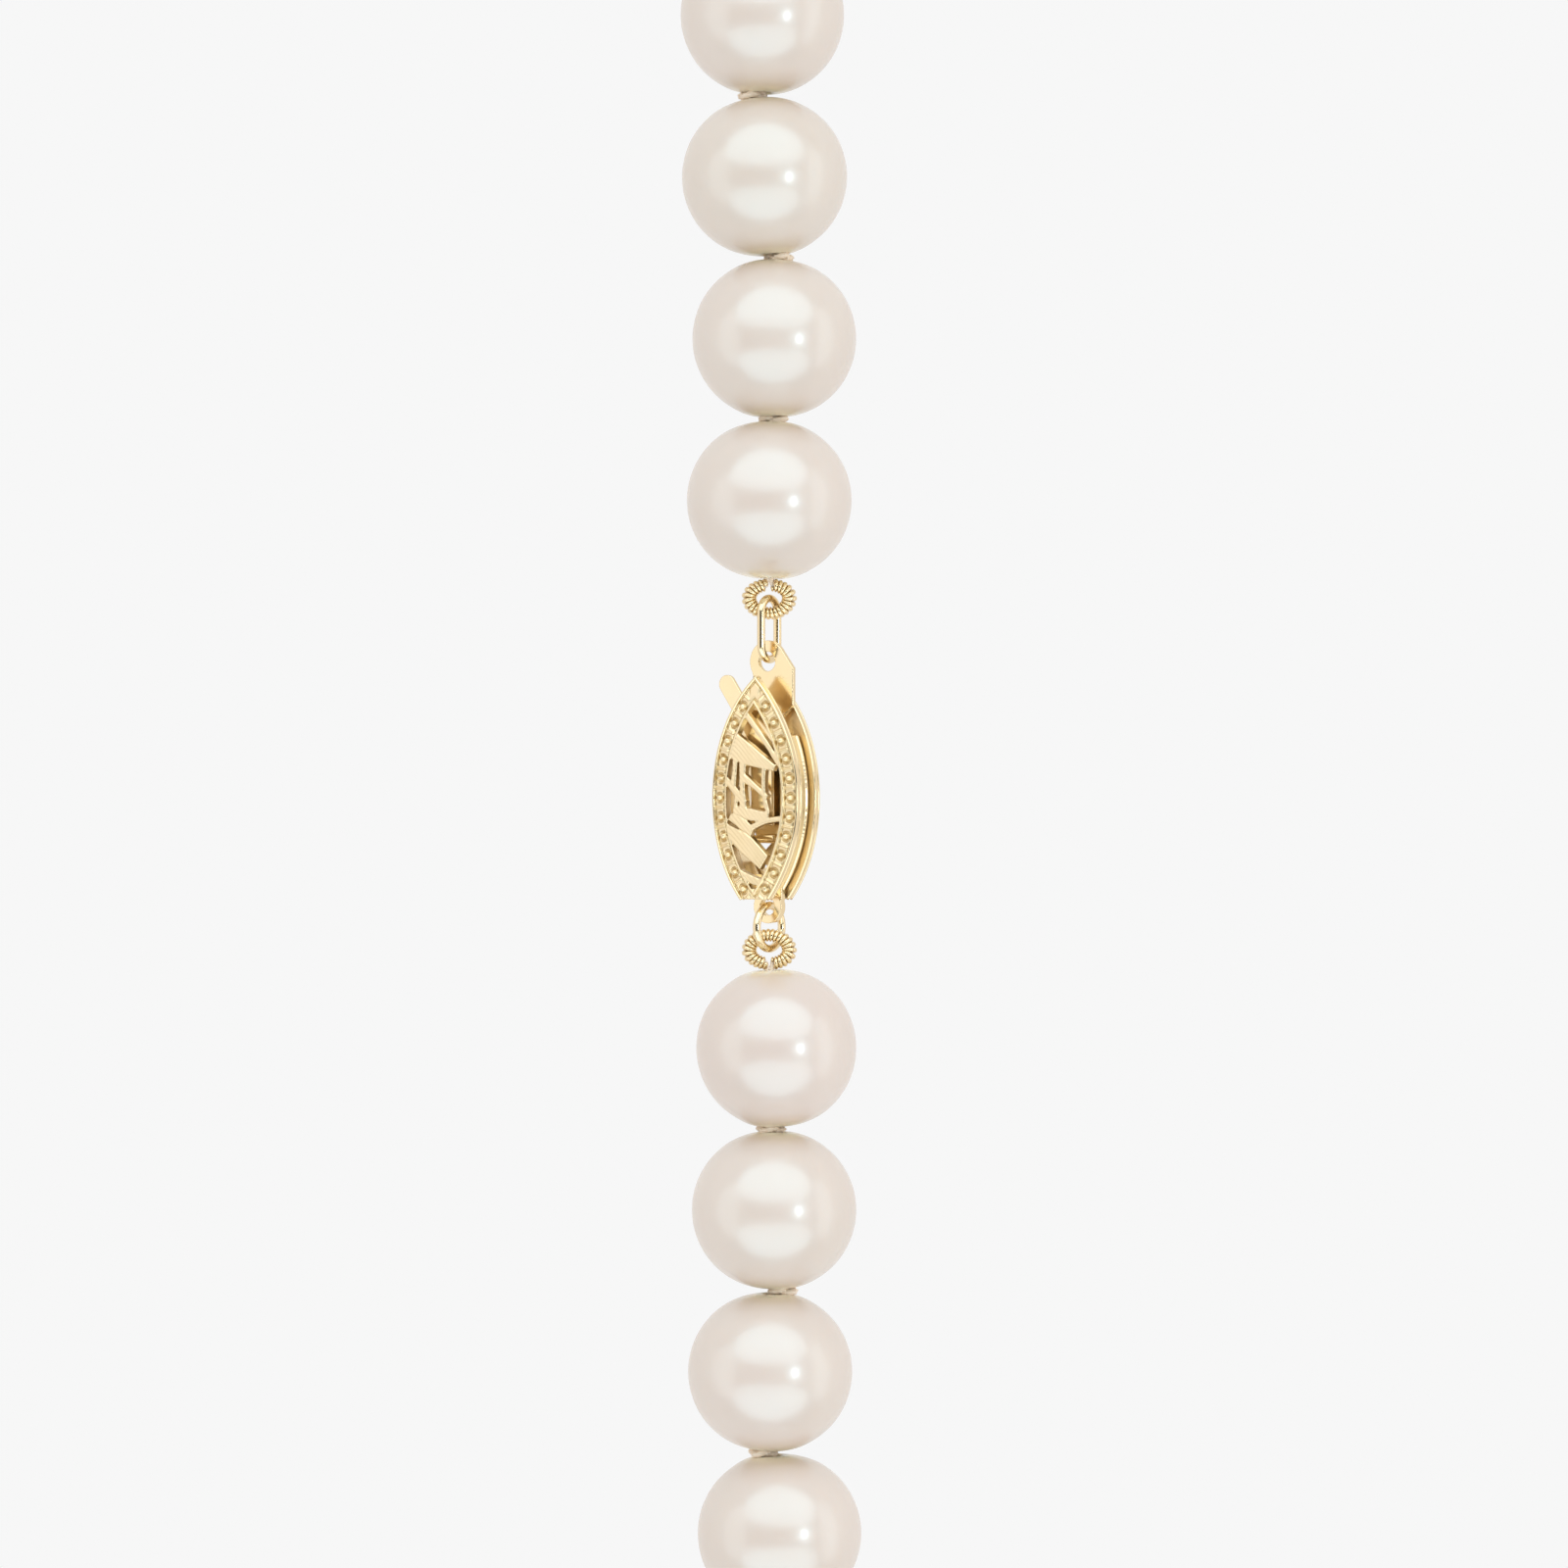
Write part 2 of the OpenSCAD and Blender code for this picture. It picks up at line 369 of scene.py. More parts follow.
def gold(name, smoothest, roughest, scratch, painted_hollow_shade=0.0):
    """Yellow gold: tone and polish drift over the surface, with fine scratches along the clasp.
    The last argument is how far painted shade darkens its hollows, taken from ambient occlusion."""
    n = Nodes(name)
    tone = n.mix(n.ramp(n.noise(420, 3), 0.35, 0.7), (0.91, 0.735, 0.47), (0.875, 0.70, 0.425))
    if painted_hollow_shade:
        # painted shade: the colour is darkened towards brown where ambient occlusion finds hollows
        tone = n.mix(n.ramp(n.openness(0.00035), 0.45, 0.92, painted_hollow_shade, 0.0), tone, (0.50, 0.34, 0.14))
    n.link(tone, n.shader.inputs["Base Color"])
    polish = n.ramp(n.noise(1200, 2, 0.5), 0.15, 0.85, smoothest, roughest)
    n.link(polish, n.shader.inputs["Roughness"])
    n.bump(n.noise(3000, 4, 0.7, (1.0, 0.12, 1.0)), scratch, 0.00002)
    n.set(Metallic=1.0)
    return n.material


def silk():
    """Twisted cream silk: soft, slightly fuzzy, with fine fibres."""
    n = Nodes("silk")
    fibre = n.noise(5000, 2, 0.5)
    tone = n.mix(n.ramp(fibre, 0.35, 0.7), (0.98, 0.80, 0.64), (1.0, 0.87, 0.73))
    n.link(tone, n.shader.inputs["Base Color"])
    n.bump(fibre, 0.3, 0.00003)
    n.set(Roughness=0.75, Sheen_Weight=0.3, Sheen_Roughness=0.5)
    return n.material


NACRE = nacre()
# the last number of each gold is how far painted shade darkens its hollows
GOLD = gold("gold_polished", 0.15, 0.26, 0.10, 0.5)
GOLD_CUT = gold("gold_diamond_cut", 0.285, 0.38, 0.12, 0.8)
GOLD_WIRE = gold("gold_wire", 0.11, 0.20, 0.02, 0.6)
SILK = silk()


# ---------------------------------------------------------------- pearls

PEARL_ROUND = 4.025  # radius of the profile's arc
PEARL_SPREAD = 0.225  # how far the arc's centre is from the drill hole's axis
BORE_R = 0.42
MOUTH_R = 0.78
# Pearls beside the clasp, which are a little off centre on the thread, sideways in millimetres
OFF_CENTRE = {47: -0.1, 46: 0.1, 45: -0.1, 1: 0.15, 3: -0.1, 4: 0.22}
SMALLER = {1: 0.965}


def pearl_profile(arc_points=54, lip_points=5):
    """(distance from the axis, place along it, how near the drill hole's mouth) round a pearl's section."""
    edge = math.acos((MOUTH_R - PEARL_SPREAD) / PEARL_ROUND)
    arc = np.linspace(-edge, edge, arc_points)
    outer = np.column_stack([PEARL_SPREAD + PEARL_ROUND * np.cos(arc), PEARL_ROUND * np.sin(arc)])
    rim_z = outer[-1][1]
    turn = np.linspace(0, math.pi / 2, lip_points + 1)[1:]
    lip_r = BORE_R + (MOUTH_R - BORE_R) * (1 - np.sin(turn))
    lip_z = rim_z - 0.28 * (1 - np.cos(turn))
    lip = np.column_stack([lip_r, lip_z])
    bore = np.array([[BORE_R, rim_z * 0.6], [BORE_R, 0.0], [BORE_R, -rim_z * 0.6]])
    low_lip = lip[::-1] * np.array([1, -1])
    ring = np.concatenate([outer, lip, bore, low_lip])
    reach = np.clip((2.9 - ring[:, 0]) / 2.3, 0, 1) ** 2
    return ring, reach


def add_attribute(obj, name, values):
    attribute = obj.data.attributes.new(name, "FLOAT", "POINT")
    attribute.data.foreach_set("value", np.asarray(values, np.float32))


def lumps(points, rng, count=5):
    """A smooth random field over a sphere, between about -1 and 1."""
    total = np.zeros(len(points))
    for i in range(count):
        way = rng.normal(size=3)
        way /= np.linalg.norm(way)
        wave = rng.uniform(0.8, 2.2)
        total += np.cos(wave * (points @ way) * 1.6 / PEARL_ROUND + rng.uniform(0, TAU)) / count
    return total


def make_pearl(k, sides=72):
    """A pearl: round, a touch short along its hole, never quite regular, drilled with soft-edged mouths."""
    rng = np.random.default_rng(1000 + k)
    centre, along = pearls[k]
    ring, reach = pearl_profile()
    turn = np.arange(sides) * TAU / sides
    local = np.stack(
        [
            np.broadcast_to(ring[:, 1][:, None], (len(ring), sides)),
            ring[:, 0][:, None] * np.cos(turn),
            ring[:, 0][:, None] * np.sin(turn),
        ],
        axis=-1,
    ).reshape(-1, 3)
    away = np.clip((np.hypot(local[:, 1], local[:, 2]) - MOUTH_R) / 1.5, 0, 1)
    size = SMALLER.get(k, rng.uniform(0.985, 1.0))
    scale = 1 + away * (size - 1 + 0.006 * lumps(local, rng) - 0.004)
    local[:, 1:] *= scale[:, None]
    local[:, 1] += away * OFF_CENTRE.get(k, rng.uniform(-0.06, 0.06)) * -np.sign(along[1] or 1)
    side = np.cross([0, 0, 1], along)
    axes = np.stack([along, side, [0.0, 0.0, 1.0]])
    obj = make_mesh(f"Pearl_{k:02d}", local @ axes + centre, grid_faces(len(ring), sides, True, True))
    add_attribute(obj, "mouth", np.repeat(reach, sides))
    add_attribute(obj, "tone", np.full(len(local), rng.uniform(0, 1)))
    return finish_piece(obj, f"pearl_{k:02d}", NACRE, "pearl", f"pearl_{k:02d}")


# ---------------------------------------------------------------- silk

THREAD_R = 0.24
KNOT_R = 0.58
# How far the knots beside the clasp bulge sideways from the strand, in millimetres
KNOT_OFFSET = {44: -0.5, 45: 0.4, 46: 0.05, 1: -0.35, 2: 0.45, 3: -0.45}


def knot_loop(rng, offset, along, side):
    """Centreline of an overhand knot pulled tight, squashed between two pearls."""
    t = np.linspace(0, TAU, 73)[:-1]
    across = (np.sin(t) + 2 * np.sin(2 * t)) / 3
    up = (np.cos(t) - 2 * np.cos(2 * t)) / 3
    depth = -np.sin(3 * t)
    lean = rng.uniform(0, TAU)
    a = across * math.cos(lean) - up * math.sin(lean)
    b = across * math.sin(lean) + up * math.cos(lean)
    return (
        (KNOT_R * a + offset)[:, None] * side
        + (KNOT_R * b)[:, None] * np.array([0, 0, 1.0])
        + (0.09 * depth)[:, None] * along
    )


def make_silk(k):
    """The thread from the middle of pearl k to the middle of pearl k + 1, with the knot between them."""
    rng = np.random.default_rng(2000 + k)
    here, (before, _), (after, _) = knots[k], pearls[k], pearls[k + 1]
    along = (after - before) / np.linalg.norm(after - before)
    side = np.cross(along, [0, 0, 1])
    lateral = KNOT_OFFSET.get(k, rng.uniform(-0.45, 0.45))
    outward = side * np.sign(side[0] or 1)
    near = 0.9  # millimetres each side of the knot where the thread has closer rings
    reach_in = here - near * (here - before) / HALF_PITCH
    reach_out = here + near * (after - here) / HALF_PITCH
    first = np.linspace(before, reach_in, 6)[:-1]
    middle = np.linspace(reach_in, here, 10)
    last = np.concatenate([np.linspace(here, reach_out, 10)[1:], np.linspace(reach_out, after, 6)[1:]])
    if k == OPEN_KNOT:
        last = (here - 0.06 * along)[None, :]
        middle = middle[:-1]
    path = np.concatenate([first, middle, last])
    thread = tube(path, THREAD_R, 12, lobes=2, lobe_depth=0.22, twist=0.9)
    loop = knot_loop(rng, lateral, along, outward) + here
    knot = tube(loop, 0.25, 12, closed=True, lobes=3, lobe_depth=0.14, twist=1.6)
    flat = knot[0] - here
    depth = flat @ along
    pressed = 0.65 * depth
    if k == OPEN_KNOT:
        pressed = 0.04 * np.tanh(pressed / 0.04) - 0.09  # against pearl 24, clear of pearl 25 as it turns
    flat += (pressed - depth)[:, None] * along
    obj = make_mesh(f"Silk_knot_{k:02d}", *merged([thread, (flat + here, knot[1])]))
    finish_piece(obj, None, SILK, "silk", "silk_thread")
    if k == OPEN_KNOT:
        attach(obj, f"pearl_{k:02d}")
    else:
        low, high = here - 0.35 * along, here + 0.35 * along
        a, b = (k, k + 1) if k < OPEN_KNOT else (k + 1, k)
        if a > b:
            low, high = high, low
        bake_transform(obj)
    return obj


def make_silk_ends():
    """The thread's ends, inside the first, last and opened pearls."""
    for k, way, reach in ((1, -1, 3.4), (PEARLS, 1, 3.4), (OPEN_KNOT + 1, -1, 4.14)):
        centre, along = pearls[k]
        path = np.linspace(centre, centre + way * reach * along, 14)
        obj = make_mesh(f"Silk_end_{k:02d}", *tube(path, THREAD_R, 12, lobes=2, lobe_depth=0.22, twist=0.9))
        finish_piece(obj, f"pearl_{k:02d}", SILK, "silk", "silk_thread")


# ---------------------------------------------------------------- clasp

HALF_L = 6.15
HALF_W = 2.65
HOUSING_Y = -1.2
SIDE_R = (HALF_L**2 + HALF_W**2) / (2 * HALF_W)
TIP_Y = -6.37
FRONT_Z = 0.85
BACK_Z = -0.25
PLATE_T = 0.45
LEAF_T = 0.3


def side_point(side, inset, angle):
    """A point on the pointed oval's side, inset by a margin."""
    r = SIDE_R - inset
    return np.array(
        [side * (r * math.cos(angle) - SIDE_R + HALF_W), HOUSING_Y + r * math.sin(angle)]
    )


def side_limits(inset, low_y=TIP_Y, high_y=None):
    """The angles where a side starts and ends: at the tips, or at a given place along the clasp."""
    r = SIDE_R - inset
    tip = math.acos(min(1.0, (SIDE_R - HALF_W) / r)) + 0.012
    low = max(-tip, math.asin(max(-1, (low_y - HOUSING_Y) / r)))
    high = tip if high_y is None else min(tip, math.asin((high_y - HOUSING_Y) / r))
    return low, high


def ribbon(side, outer, inner, low, high, low_y=TIP_Y, high_y=None, steps=64):
    """A strip of metal along one side of the pointed oval, between two insets."""
    low_a, high_a = side_limits((outer + inner) / 2, low_y, high_y)
    angles = np.linspace(low_a, high_a, steps)
    edges = [np.array([side_point(side, i, a) for a in angles]) for i in (outer, inner)]
    for edge in edges:
        edge[:, 1] = np.clip(edge[:, 1], low_y, high_y)
    rows = [
        np.column_stack([edges[e], np.full(steps, z)])
        for e, z in ((0, low), (1, low), (1, high), (0, high))
    ]
    points = np.stack(rows, axis=1).reshape(-1, 3)
    faces = grid_faces(steps, 4, False, True)
    last = (steps - 1) * 4
    faces += [(3, 2, 1, 0), (last, last + 1, last + 2, last + 3)]
    return points, faces


# Leaves of the openwork: start, end, sideways bow, and widths at the start, middle and end
LEAVES = [
    ((-0.75, 3.30), (1.60, 0.45), 0.10, (0.34, 0.28, 0.30)),
    ((-1.85, 1.75), (1.30, 0.30), -0.05, (1.50, 1.10, 0.34)),
    ((0.68, 0.50), (0.90, -1.95), -0.16, (0.26, 0.22, 0.26)),
    ((-0.75, -0.10), (0.85, -1.20), 0.05, (0.46, 0.30, 0.28)),
    ((-1.95, -0.10), (-0.55, -1.50), 0.04, (0.34, 0.38, 0.40)),
    ((-0.66, 0.60), (-0.62, -1.90), -0.05, (0.44, 0.30, 0.50)),
    ((-1.25, -1.75), (0.95, -2.15), -0.10, (0.40, 0.66, 0.46)),
    ((-1.50, -2.15), (-0.05, -2.95), 0.06, (0.40, 0.62, 0.50)),
    ((-0.20, -2.75), (1.70, -2.25), 0.10, (0.34, 0.26, 0.30)),
    ((-1.75, -2.80), (0.65, -4.50), 0.10, (0.62, 1.05, 0.86)),
    ((-1.15, -4.85), (0.85, -5.60), -0.12, (0.34, 0.46, 0.42)),
    ((-1.15, 0.90), (-1.32, -0.60), 0.05, (0.34, 0.28, 0.40)),
    ((-1.00, -1.10), (-1.15, -2.20), -0.05, (0.30, 0.22, 0.34)),
]


def leaf(start, end, bow, widths, low, high, steps=30):
    """A broad flat leaf of the openwork with its top edges eased."""
    start, end = np.array(start), np.array(end)
    t = np.linspace(0, 1, steps)
    across = np.array([-(end - start)[1], (end - start)[0]])
    across /= np.linalg.norm(across)
    line = start + t[:, None] * (end - start) + (bow * np.sin(math.pi * t))[:, None] * across
    half = np.interp(t, (0, 0.5, 1), widths) / 2
    ease = 0.05
    rows = []
    corners = ((1, 0, low), (-1, 0, low), (-1, 0, high - ease))
    corners += ((-1, ease, high), (1, ease, high), (1, 0, high - ease))
    for sign, shrink, z in corners:
        rows.append(np.column_stack([line + (sign * (half - shrink))[:, None] * across, np.full(steps, z)]))
    points = np.stack(rows, axis=1).reshape(-1, 3)
    last = (steps - 1) * 6
    faces = grid_faces(steps, 6, False, True)
    faces += [(5, 4, 3, 2, 1, 0), tuple(last + i for i in range(6))]
    return points, faces


CELL = 1.05  # spacing of the milgrain cells along the border
BORDER = 0.93  # width of the border
BORDER_T = 0.38  # its thickness, below the rims and beads


def pierced_frame():
    """Solids of one face of the clasp, standing on z = 0: its border with rims, and the openwork leaves."""
    solids = [
        prism([(-1.0, -5.95), (-0.85, TIP_Y), (0.85, TIP_Y), (1.0, -5.95), (0.0, -5.8)], 0.0, BORDER_T),
        disc((0.0, 4.55), 0.24, 0.0, BORDER_T),
    ]
    for side in (-1, 1):
        solids.append(ribbon(side, 0.0, BORDER, 0.0, BORDER_T))
        solids.append(ribbon(side, 0.0, 0.10, 0.0, PLATE_T))
        solids.append(ribbon(side, BORDER - 0.11, BORDER, 0.0, PLATE_T))
    for start, end, bow, widths in LEAVES:
        solids.append(leaf(start, end, bow, widths, 0.06, PLATE_T - 0.01))
    return solids


def engraved(points):
    """Raises a bead in a sunk ring in each cell of the border, and cuts slanting lines over the leaves."""
    points = points.copy()
    x, y, z = points.T
    reach = np.hypot(np.abs(x) + SIDE_R - HALF_W, y - HOUSING_Y)
    inset = SIDE_R - reach
    cell = np.arctan2(y - HOUSING_Y, np.abs(x) + SIDE_R - HALF_W) * SIDE_R / CELL
    middle = np.hypot((cell - np.round(cell)) * CELL, inset - BORDER / 2)
    bead = 0.15 * np.clip(1 - (middle / 0.17) ** 2, 0, 1) ** 0.7
    bead -= 0.10 * np.exp(-(((middle - 0.25) / 0.05) ** 2))
    line = 0.09 * np.exp(-(((cell - np.floor(cell) - 0.5) * CELL / 0.05) ** 2))
    groove = np.exp(-(((inset - 0.17) / 0.04) ** 2)) + np.exp(-(((inset - BORDER + 0.18) / 0.04) ** 2))
    within = (inset > 0.12) & (inset < BORDER - 0.13) & (np.abs(x) > 0.30)
    slant = 0.80 * y + 0.60 * x + 0.25 * np.sin(0.9 * x)
    cut = np.clip(np.cos(TAU * slant / 0.21), 0, 1) ** 2
    top = np.clip((z - 0.26) / 0.06, 0, 1)
    relief = within * (bead + line) - 0.07 * groove - 0.016 * cut * (inset > BORDER)
    points[:, 2] += top * relief
    return points


def swollen(points):
    """The face swells gently outwards along its middle, from the front of the clasp's pocket."""
    rise = 0.20 * (1 - np.clip(np.abs(points[:, 0]) / HALF_W, 0, 1) ** 2)
    ends = 1 - np.clip(np.abs(points[:, 1] - HOUSING_Y) / HALF_L, 0, 1) ** 4
    return points + np.outer(FRONT_Z + rise * ends, [0, 0, 1])


def front_face(points):
    return swollen(engraved(points))


def turned_over(points):
    """From the clasp's front to its back: half a turn about its long axis."""
    return np.array([0, 0, BACK_Z + FRONT_Z]) + points * np.array([-1, 1, -1])


def back_face(points):
    return turned_over(front_face(points))


def polished_edge(name, shape):
    """Bright rounded edge round a face's outline."""
    solids = []
    for side in (-1, 1):
        low_a, high_a = side_limits(0.05)
        outline = np.array([side_point(side, 0.05, a) for a in np.linspace(low_a, high_a, 90)])
        for z, radius in ((PLATE_T - 0.06, 0.075), (0.09, 0.075)):
            path = np.column_stack([outline, np.full(len(outline), z)])
            solids.append(tube(shape(path), radius, 12))
    points, faces = merged(solids)
    obj = make_mesh(name, to_row(points), faces)
    finish_piece(obj, "clasp", GOLD_WIRE, "gold")


def make_faces():
    """Front and back of the clasp. The back is the front turned over, so its faces stay outwards."""
    front = cast("Clasp_front", pierced_frame(), voxel=0.03, smooth=3, shape=front_face)
    finish_piece(front, "clasp", GOLD_CUT, "gold", "clasp_front")
    back = cast("Clasp_back", pierced_frame(), voxel=0.045, smooth=2, shape=back_face)
    finish_piece(back, "clasp", GOLD_CUT, "gold", "clasp_back")
    polished_edge("Front_edge", swollen)
    polished_edge("Back_edge", lambda points: turned_over(swollen(points)))


def make_band():
    """Recessed side wall with two fine ribs, open at the mouth and at the end tab."""
    solids = []
    for side in (-1, 1):
        low_y, high_y = -6.2, 2.0
        solids.append(ribbon(side, 0.38, 0.8, BACK_Z, FRONT_Z, low_y, high_y))
        for z in (BACK_Z + 0.16, FRONT_Z - 0.16):
            solids.append(ribbon(side, 0.3, 0.6, z - 0.07, z + 0.07, low_y, high_y))
    band = cast("Clasp_band", solids, voxel=0.04, smooth=3)
    finish_piece(band, "clasp", GOLD, "gold", "clasp_band")


def make_catch_bar():
    place = (-1.06, 1.5)
    solids = [disc(place, 0.19, BACK_Z, FRONT_Z, 24)]
    bar = cast("Catch_bar", solids, voxel=0.03, smooth=2)
    finish_piece(bar, "clasp", GOLD, "gold", "catch_bar")


def make_end_tab():
    """Eye plate at the lower tip, with a raised collar round its eye."""
    eye = (0.0, END_EYE_Y - 0.05)
    low, high = BACK_Z + 0.02, BACK_Z + 0.4
    outline = [(-0.85, END_EYE_Y + 0.3), (0.85, END_EYE_Y + 0.3), (0.85, -5.1), (-0.85, -5.1)]
    solids = [prism(outline, low, high), annulus(eye, 0.45, 0.86, low, high + 0.03)]
    tab = cast("End_tab", solids, voxel=0.03, smooth=3)
    finish_piece(tab, "clasp", GOLD, "gold", "end_tab")


def make_hook():
    """Flat leaf with its eye, shoulder and the fold that the tongue springs from. Nothing latches it."""
    eye_y, half = 5.75, LEAF_T / 2
    low, high = -half + 0.02, half - 0.02
    leaf_outline = [(-0.78, FOLD_Y), (0.78, FOLD_Y), (0.78, 5.05), (-0.78, 5.05)]
    wing = [(0.56, 4.4), (0.62, 5.9), (0.80, 6.40), (1.55, 5.40), (1.55, 3.5), (0.78, 2.8)]
    left = [(-0.78, 4.4), (0.0, 4.4), (0.0, 5.0), (-0.98, 5.2)]
    solids = [
        prism(leaf_outline, low, high),
        annulus((-0.05, eye_y), 0.5, 1.08, low, high),
        prism(wing, low, high),
        prism(left, low, high),
    ]
    fold_z, bend_r, gauge, fold_half, steps = 0.3, 0.3, 0.24, 0.72, 24
    turn = np.linspace(math.pi / 2, 3 * math.pi / 2, steps)
    inner, outer = bend_r - gauge / 2, bend_r + gauge / 2
    rows = []
    for r, x in ((inner, -fold_half), (outer, -fold_half), (outer, fold_half), (inner, fold_half)):
        y, z = FOLD_Y + r * np.cos(turn), fold_z + r * np.sin(turn)
        rows.append(np.column_stack([np.full(steps, x), y, z]))
    fold = np.stack(rows, axis=1).reshape(-1, 3)
    last = (steps - 1) * 4
    fold_faces = grid_faces(steps, 4, False, True) + [(3, 2, 1, 0), (last, last + 1, last + 2, last + 3)]
    solids.append((fold, fold_faces))
    hook = cast("Hook_plate", solids, voxel=0.032, smooth=4)
    finish_piece(hook, "hook", GOLD, "gold", "hook_plate")


def make_tongue():
    """Upper sprung leaf and its thumb lever with a rounded end."""
    low, high = 0.47, 0.68
    tip, lean, length, half = np.array([-2.2, 4.6]), math.radians(-55.6), 3.27, 0.48
    way = np.array([math.cos(lean), math.sin(lean)])
    wide = np.array([-way[1], way[0]])
    root = tip + length * way
    lever = [tip + half * wide, tip - half * wide, root - half * wide, root + half * wide]
    leaf_low = FOLD_Y + 0.5
    outline = [(-0.68, leaf_low), (0.68, leaf_low), (0.6, leaf_low + 5.9), (-0.68, leaf_low + 5.9)]
    solids = [
        prism(outline, low, high),
        prism(lever, low, high),
        disc(tip, half, low, high),
    ]
    tongue = cast("Spring_tongue", solids, voxel=0.032, smooth=4)
    finish_piece(tongue, "tongue", GOLD, "gold", "spring_tongue")


def make_link():
    """Plain oval link in the plane along the clasp and out of its front."""
    r, wire = 0.72, 0.205
    turn = np.linspace(0, math.pi, 28)
    top = np.column_stack([np.zeros(28), FRENCH_LOW_Y + r * np.sin(turn), r * np.cos(turn)])
    low = np.column_stack([np.zeros(28), LINK_BAR_Y - r * np.sin(turn), -r * np.cos(turn)])
    points, faces = tube(np.concatenate([top, low]), wire, 20, closed=True)
    link = make_mesh("Hook_link", to_row(points), faces)
    finish_piece(link, "link", GOLD_WIRE, "gold", "hook_link")


def make_end_ring():
    """Round jump ring with the hairline of its closed joint."""
    r, wire = 1.1, 0.205
    turn = np.arange(96) * TAU / 96
    centre_y = END_EYE_Y - r
    path = np.column_stack([np.zeros(96), centre_y + r * np.sin(turn), r * np.cos(turn)])
    radius = wire * (1 - 0.12 * np.exp(-(((turn - 0.5) / 0.025) ** 2)))
    points, faces = tube(path, radius, 20, closed=True)
    ring = make_mesh("End_ring", to_row(points), faces)
    finish_piece(ring, "ring", GOLD_WIRE, "gold", "end_ring")


FRENCH_LOW_REACH = 0.75  # from the middle of the French wire's loop to its low end, on the link


def french_path(count):
    """(points, distances) down the French wire's loop: round the link, its ends meeting at the drill hole."""
    half_wide, high_reach, gap = 0.99, 0.62, 0.16
    start = math.asin(gap / half_wide)
    turn = np.linspace(math.pi / 2 + start, math.pi * 2.5 - start, 400)
    tall = np.where(np.sin(turn) < 0, FRENCH_LOW_REACH, high_reach)
    line = np.column_stack([half_wide * np.cos(turn), FRENCH_LOW_Y + FRENCH_LOW_REACH + tall * np.sin(turn)])
    run = np.concatenate([[0], np.cumsum(np.linalg.norm(np.diff(line, axis=0), axis=1))])
    even = np.linspace(0, run[-1], count)
    across, along = np.interp(even, run, line[:, 0]), np.interp(even, run, line[:, 1])
    return np.column_stack([across, along, np.zeros(count)]), even


def make_french_wire(side, body, node, name):
    """A tight coil of fine wire bent into a loop, with the silk running through it and into the pearl."""
    core_r, wire_r, pitch = 0.235, 0.10, 0.20
    _, even = french_path(10)
    line, run = french_path(int(even[-1] / pitch * 20))
    _, normals, binormals = carried_frames(line, False)
    phase = run / pitch * TAU
    offset = np.cos(phase)[:, None] * normals + np.sin(phase)[:, None] * binormals
    outwards = line - np.array([0, FRENCH_LOW_Y + FRENCH_LOW_REACH, 0])
    outwards /= np.linalg.norm(outwards, axis=1)[:, None]
    crowding = (offset * outwards).sum(1)  # the wire looks thicker outside the bend, and thinner inside it
    fuller = 0.06 * line[:, :1] ** 2  # the coil stands fuller at the sides of its loop
    points, faces = tube(line + (core_r + fuller) * offset, wire_r + 0.04 * crowding, 10)
    mirror = np.array([1, side, 1])
    obj = make_mesh(name, points * mirror + clasp_middle, [f[::side] for f in faces])
    finish_piece(obj, body, GOLD_WIRE, "french_wire", node)
    core, _ = french_path(80)
    into = np.array([[-0.13, 10.75, 0.0], [-0.13, 10.2, 0.0], [-0.12, 9.85, 0.0]])
    core = np.concatenate([into, core, into[::-1] * np.array([-1, 1, 1])])
    points, faces = tube(core, 0.12, 10)
    silk_loop = make_mesh(name + "_silk", points * mirror + clasp_middle, [f[::side] for f in faces])
    finish_piece(silk_loop, body, SILK, "silk", "silk_thread")


# ---------------------------------------------------------------- studio

VIEW_MM = 80.0  # width of the picture at the height of the strand
CAMERA_MM = 300.0
SENSOR_MM = 36.0
FLOOR_Z = -0.3  # metres: below the reach of the strand in every pose, as the floor takes no shadow


def area_light(name, place, target, size, power, colour=(1, 1, 1)):
    """A soft light, a rounded panel facing target. size is in metres and power in watts."""
    data = bpy.data.lights.new(name, "AREA")
    data.shape = "ELLIPSE"
    data.size, data.size_y = size
    data.energy = power
    data.color = colour
    obj = bpy.data.objects.new(name, data)
    obj.location = place
    obj.rotation_euler = (Vector(target) - Vector(place)).to_track_quat("-Z", "Y").to_euler()
    obj.visible_camera = False
    scene.collection.objects.link(obj)


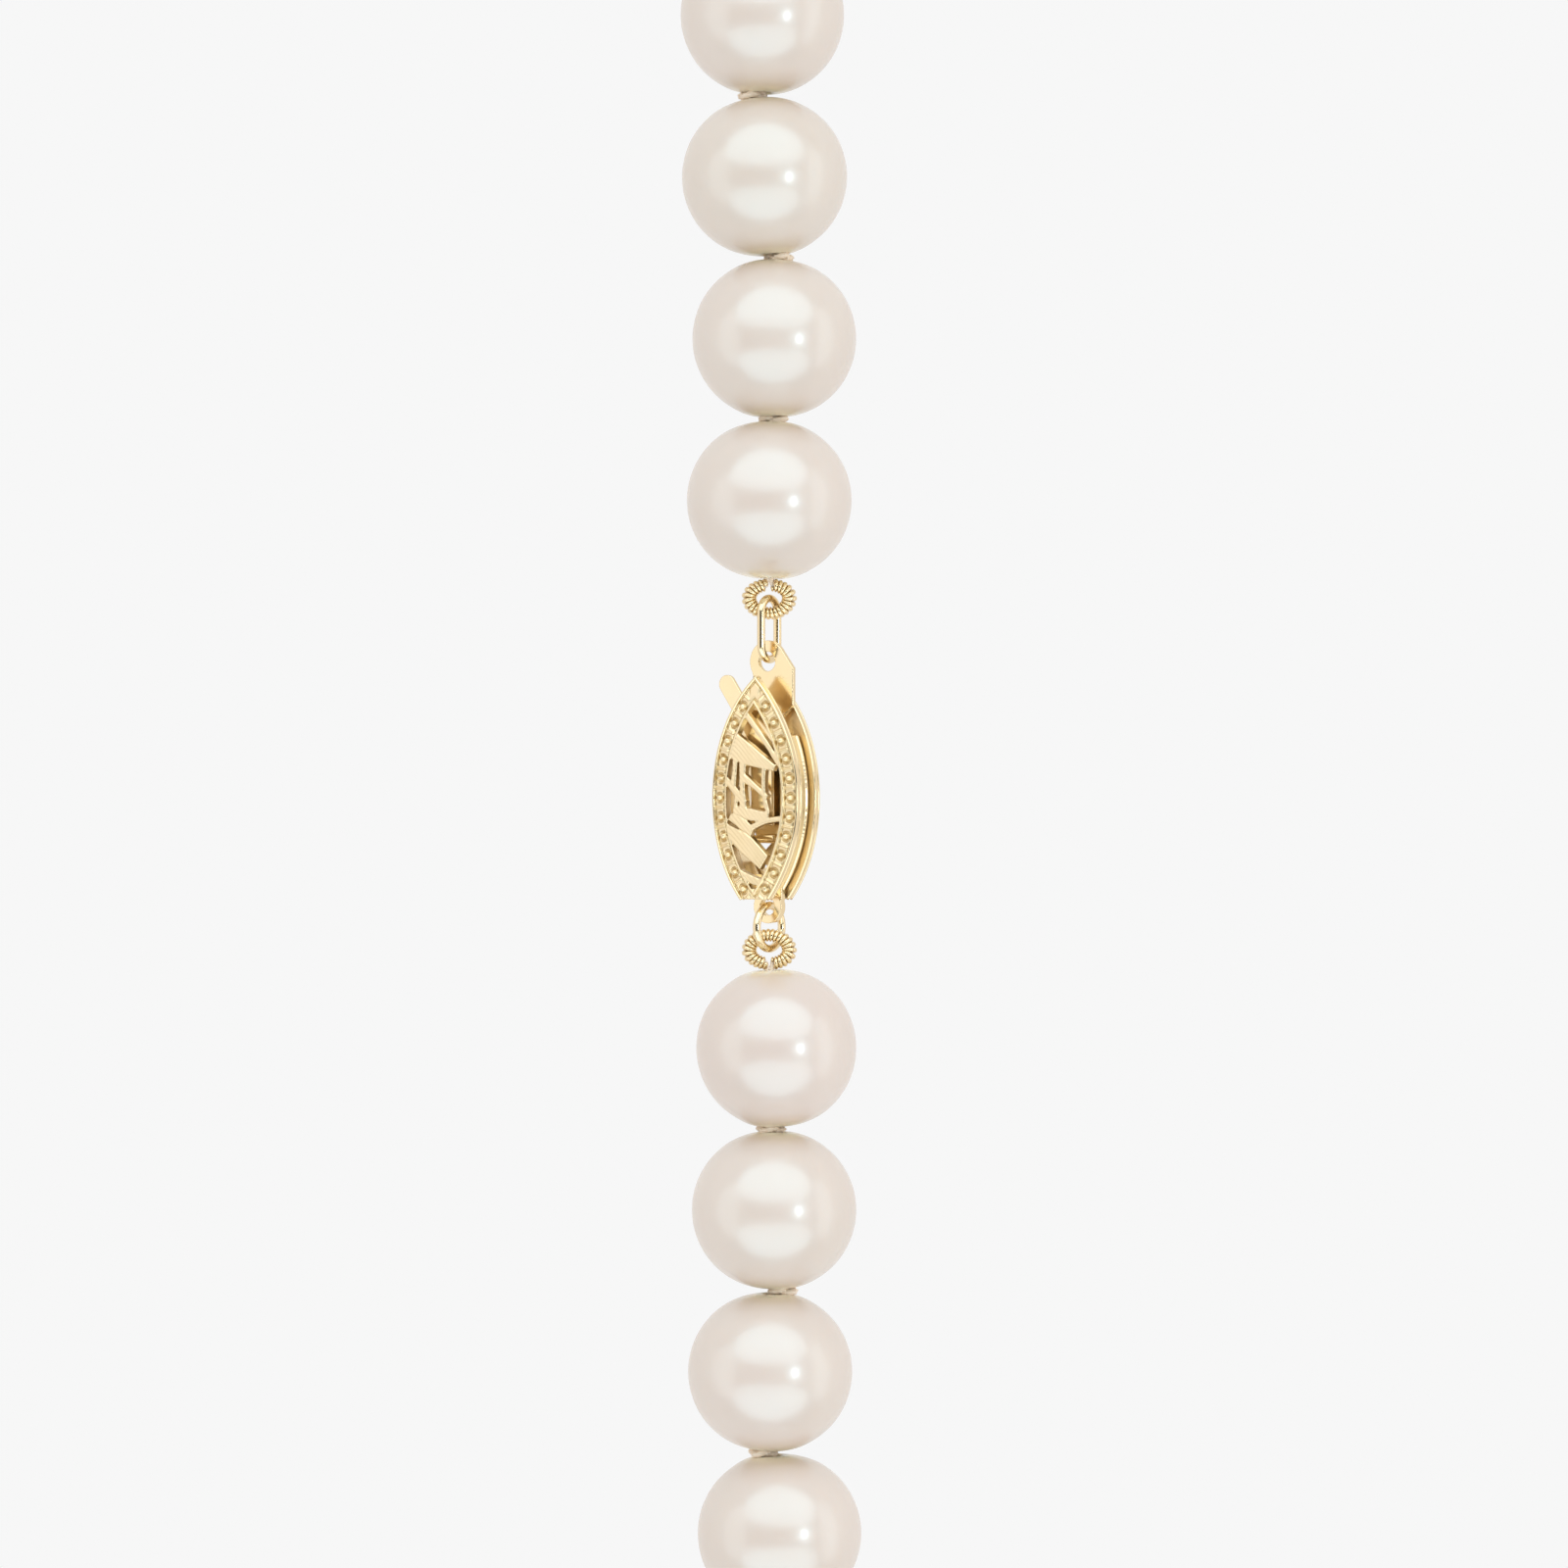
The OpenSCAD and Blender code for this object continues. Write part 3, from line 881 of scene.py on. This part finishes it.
def make_studio():
    """Even pale floor and backdrop, seen by the camera alone. A large soft light stands beyond each end of
    the clasp, a smaller one at each side, and one small lamp. Overhead stays dim, where the camera is."""
    middle = Vector(clasp_middle) * MM
    material = bpy.data.materials.new("ground")
    material.use_nodes = True
    shader = material.node_tree.nodes["Principled BSDF"]
    shader.inputs["Base Color"].default_value = (0.0, 0.0, 0.0, 1)
    shader.inputs["Specular IOR Level"].default_value = 0.0
    shader.inputs["Emission Color"].default_value = (1, 1, 1, 1)
    shader.inputs["Emission Strength"].default_value = 0.93
    bpy.ops.mesh.primitive_plane_add(size=11.0, location=(0, 0, FLOOR_Z))
    bpy.context.object.name = "Floor"
    bpy.ops.mesh.primitive_uv_sphere_add(radius=6.0, segments=64, ring_count=32)
    bpy.context.object.name = "Backdrop"
    for ground in (bpy.data.objects["Floor"], bpy.data.objects["Backdrop"]):
        ground.data.materials.append(material)
        ground.visible_diffuse = False
        ground.visible_glossy = False
        ground.visible_shadow = False
    cool = (0.84, 0.95, 1.0)
    area_light("Key", middle + Vector((0.0, 0.36, 0.36)), middle, (1.20, 0.66), 3.35, cool)
    area_light("Fill", middle + Vector((0.0, -0.34, 0.36)), middle, (1.10, 0.50), 2.20, cool)
    area_light("Card", middle + Vector((-0.50, 0.0, 0.20)), middle, (0.70, 0.36), 0.45)
    area_light("Card_right", middle + Vector((0.50, 0.0, 0.10)), middle, (0.70, 0.30), 0.45)
    area_light("Lamp", middle + Vector((0.23, -0.01, 0.33)), middle, (0.10, 0.08), 0.22, cool)
    world = bpy.data.worlds.new("World")
    world.use_nodes = True
    tree = world.node_tree
    back = tree.nodes["Background"]
    place = tree.nodes.new("ShaderNodeTexCoord")
    split = tree.nodes.new("ShaderNodeSeparateXYZ")
    tree.links.new(place.outputs["Generated"], split.inputs["Vector"])
    level = tree.nodes.new("ShaderNodeValToRGB")
    for spot, value in zip((0, 1), (0.90, 0.08)):
        level.color_ramp.elements[spot].color = (value, value * 0.98, value * 0.95, 1)
    for place_z, value in ((0.46, 0.88), (0.54, 0.56), (0.74, 0.42)):
        stop = level.color_ramp.elements.new(place_z)
        stop.color = (value, value * 0.98, value * 0.95, 1)
    half = tree.nodes.new("ShaderNodeMapRange")
    half.inputs["From Min"].default_value = -1.0
    tree.links.new(split.outputs["Z"], half.inputs["Value"])
    tree.links.new(half.outputs["Result"], level.inputs["Fac"])
    tree.links.new(level.outputs["Color"], back.inputs["Color"])
    scene.world = world
    scene.view_settings.view_transform = "Standard"


def make_camera():
    """Straight above the clasp, as the strand is seen, with the hook end at the top."""
    data = bpy.data.cameras.new("Camera")
    data.sensor_width = SENSOR_MM
    data.lens = CAMERA_MM * SENSOR_MM / VIEW_MM
    data.clip_start, data.clip_end = 0.01, 10
    obj = bpy.data.objects.new("Camera", data)
    look = Vector(clasp_middle) + Vector((0.75, -0.5, 0))
    obj.location = (look + Vector((0, 0, CAMERA_MM))) * MM
    scene.collection.objects.link(obj)
    scene.camera = obj


# ---------------------------------------------------------------- the necklace

make_camera()
for number in range(1, PEARLS + 1):
    make_pearl(number)
for number in range(1, PEARLS):
    make_silk(number)
make_silk_ends()
make_faces()
make_band()
make_catch_bar()
make_end_tab()
make_hook()
make_tongue()
make_link()
make_end_ring()
make_french_wire(1, "pearl_47", "upper_french_wire", "Upper_french_wire")
make_french_wire(-1, "pearl_01", "lower_french_wire", "Lower_french_wire")
make_studio()
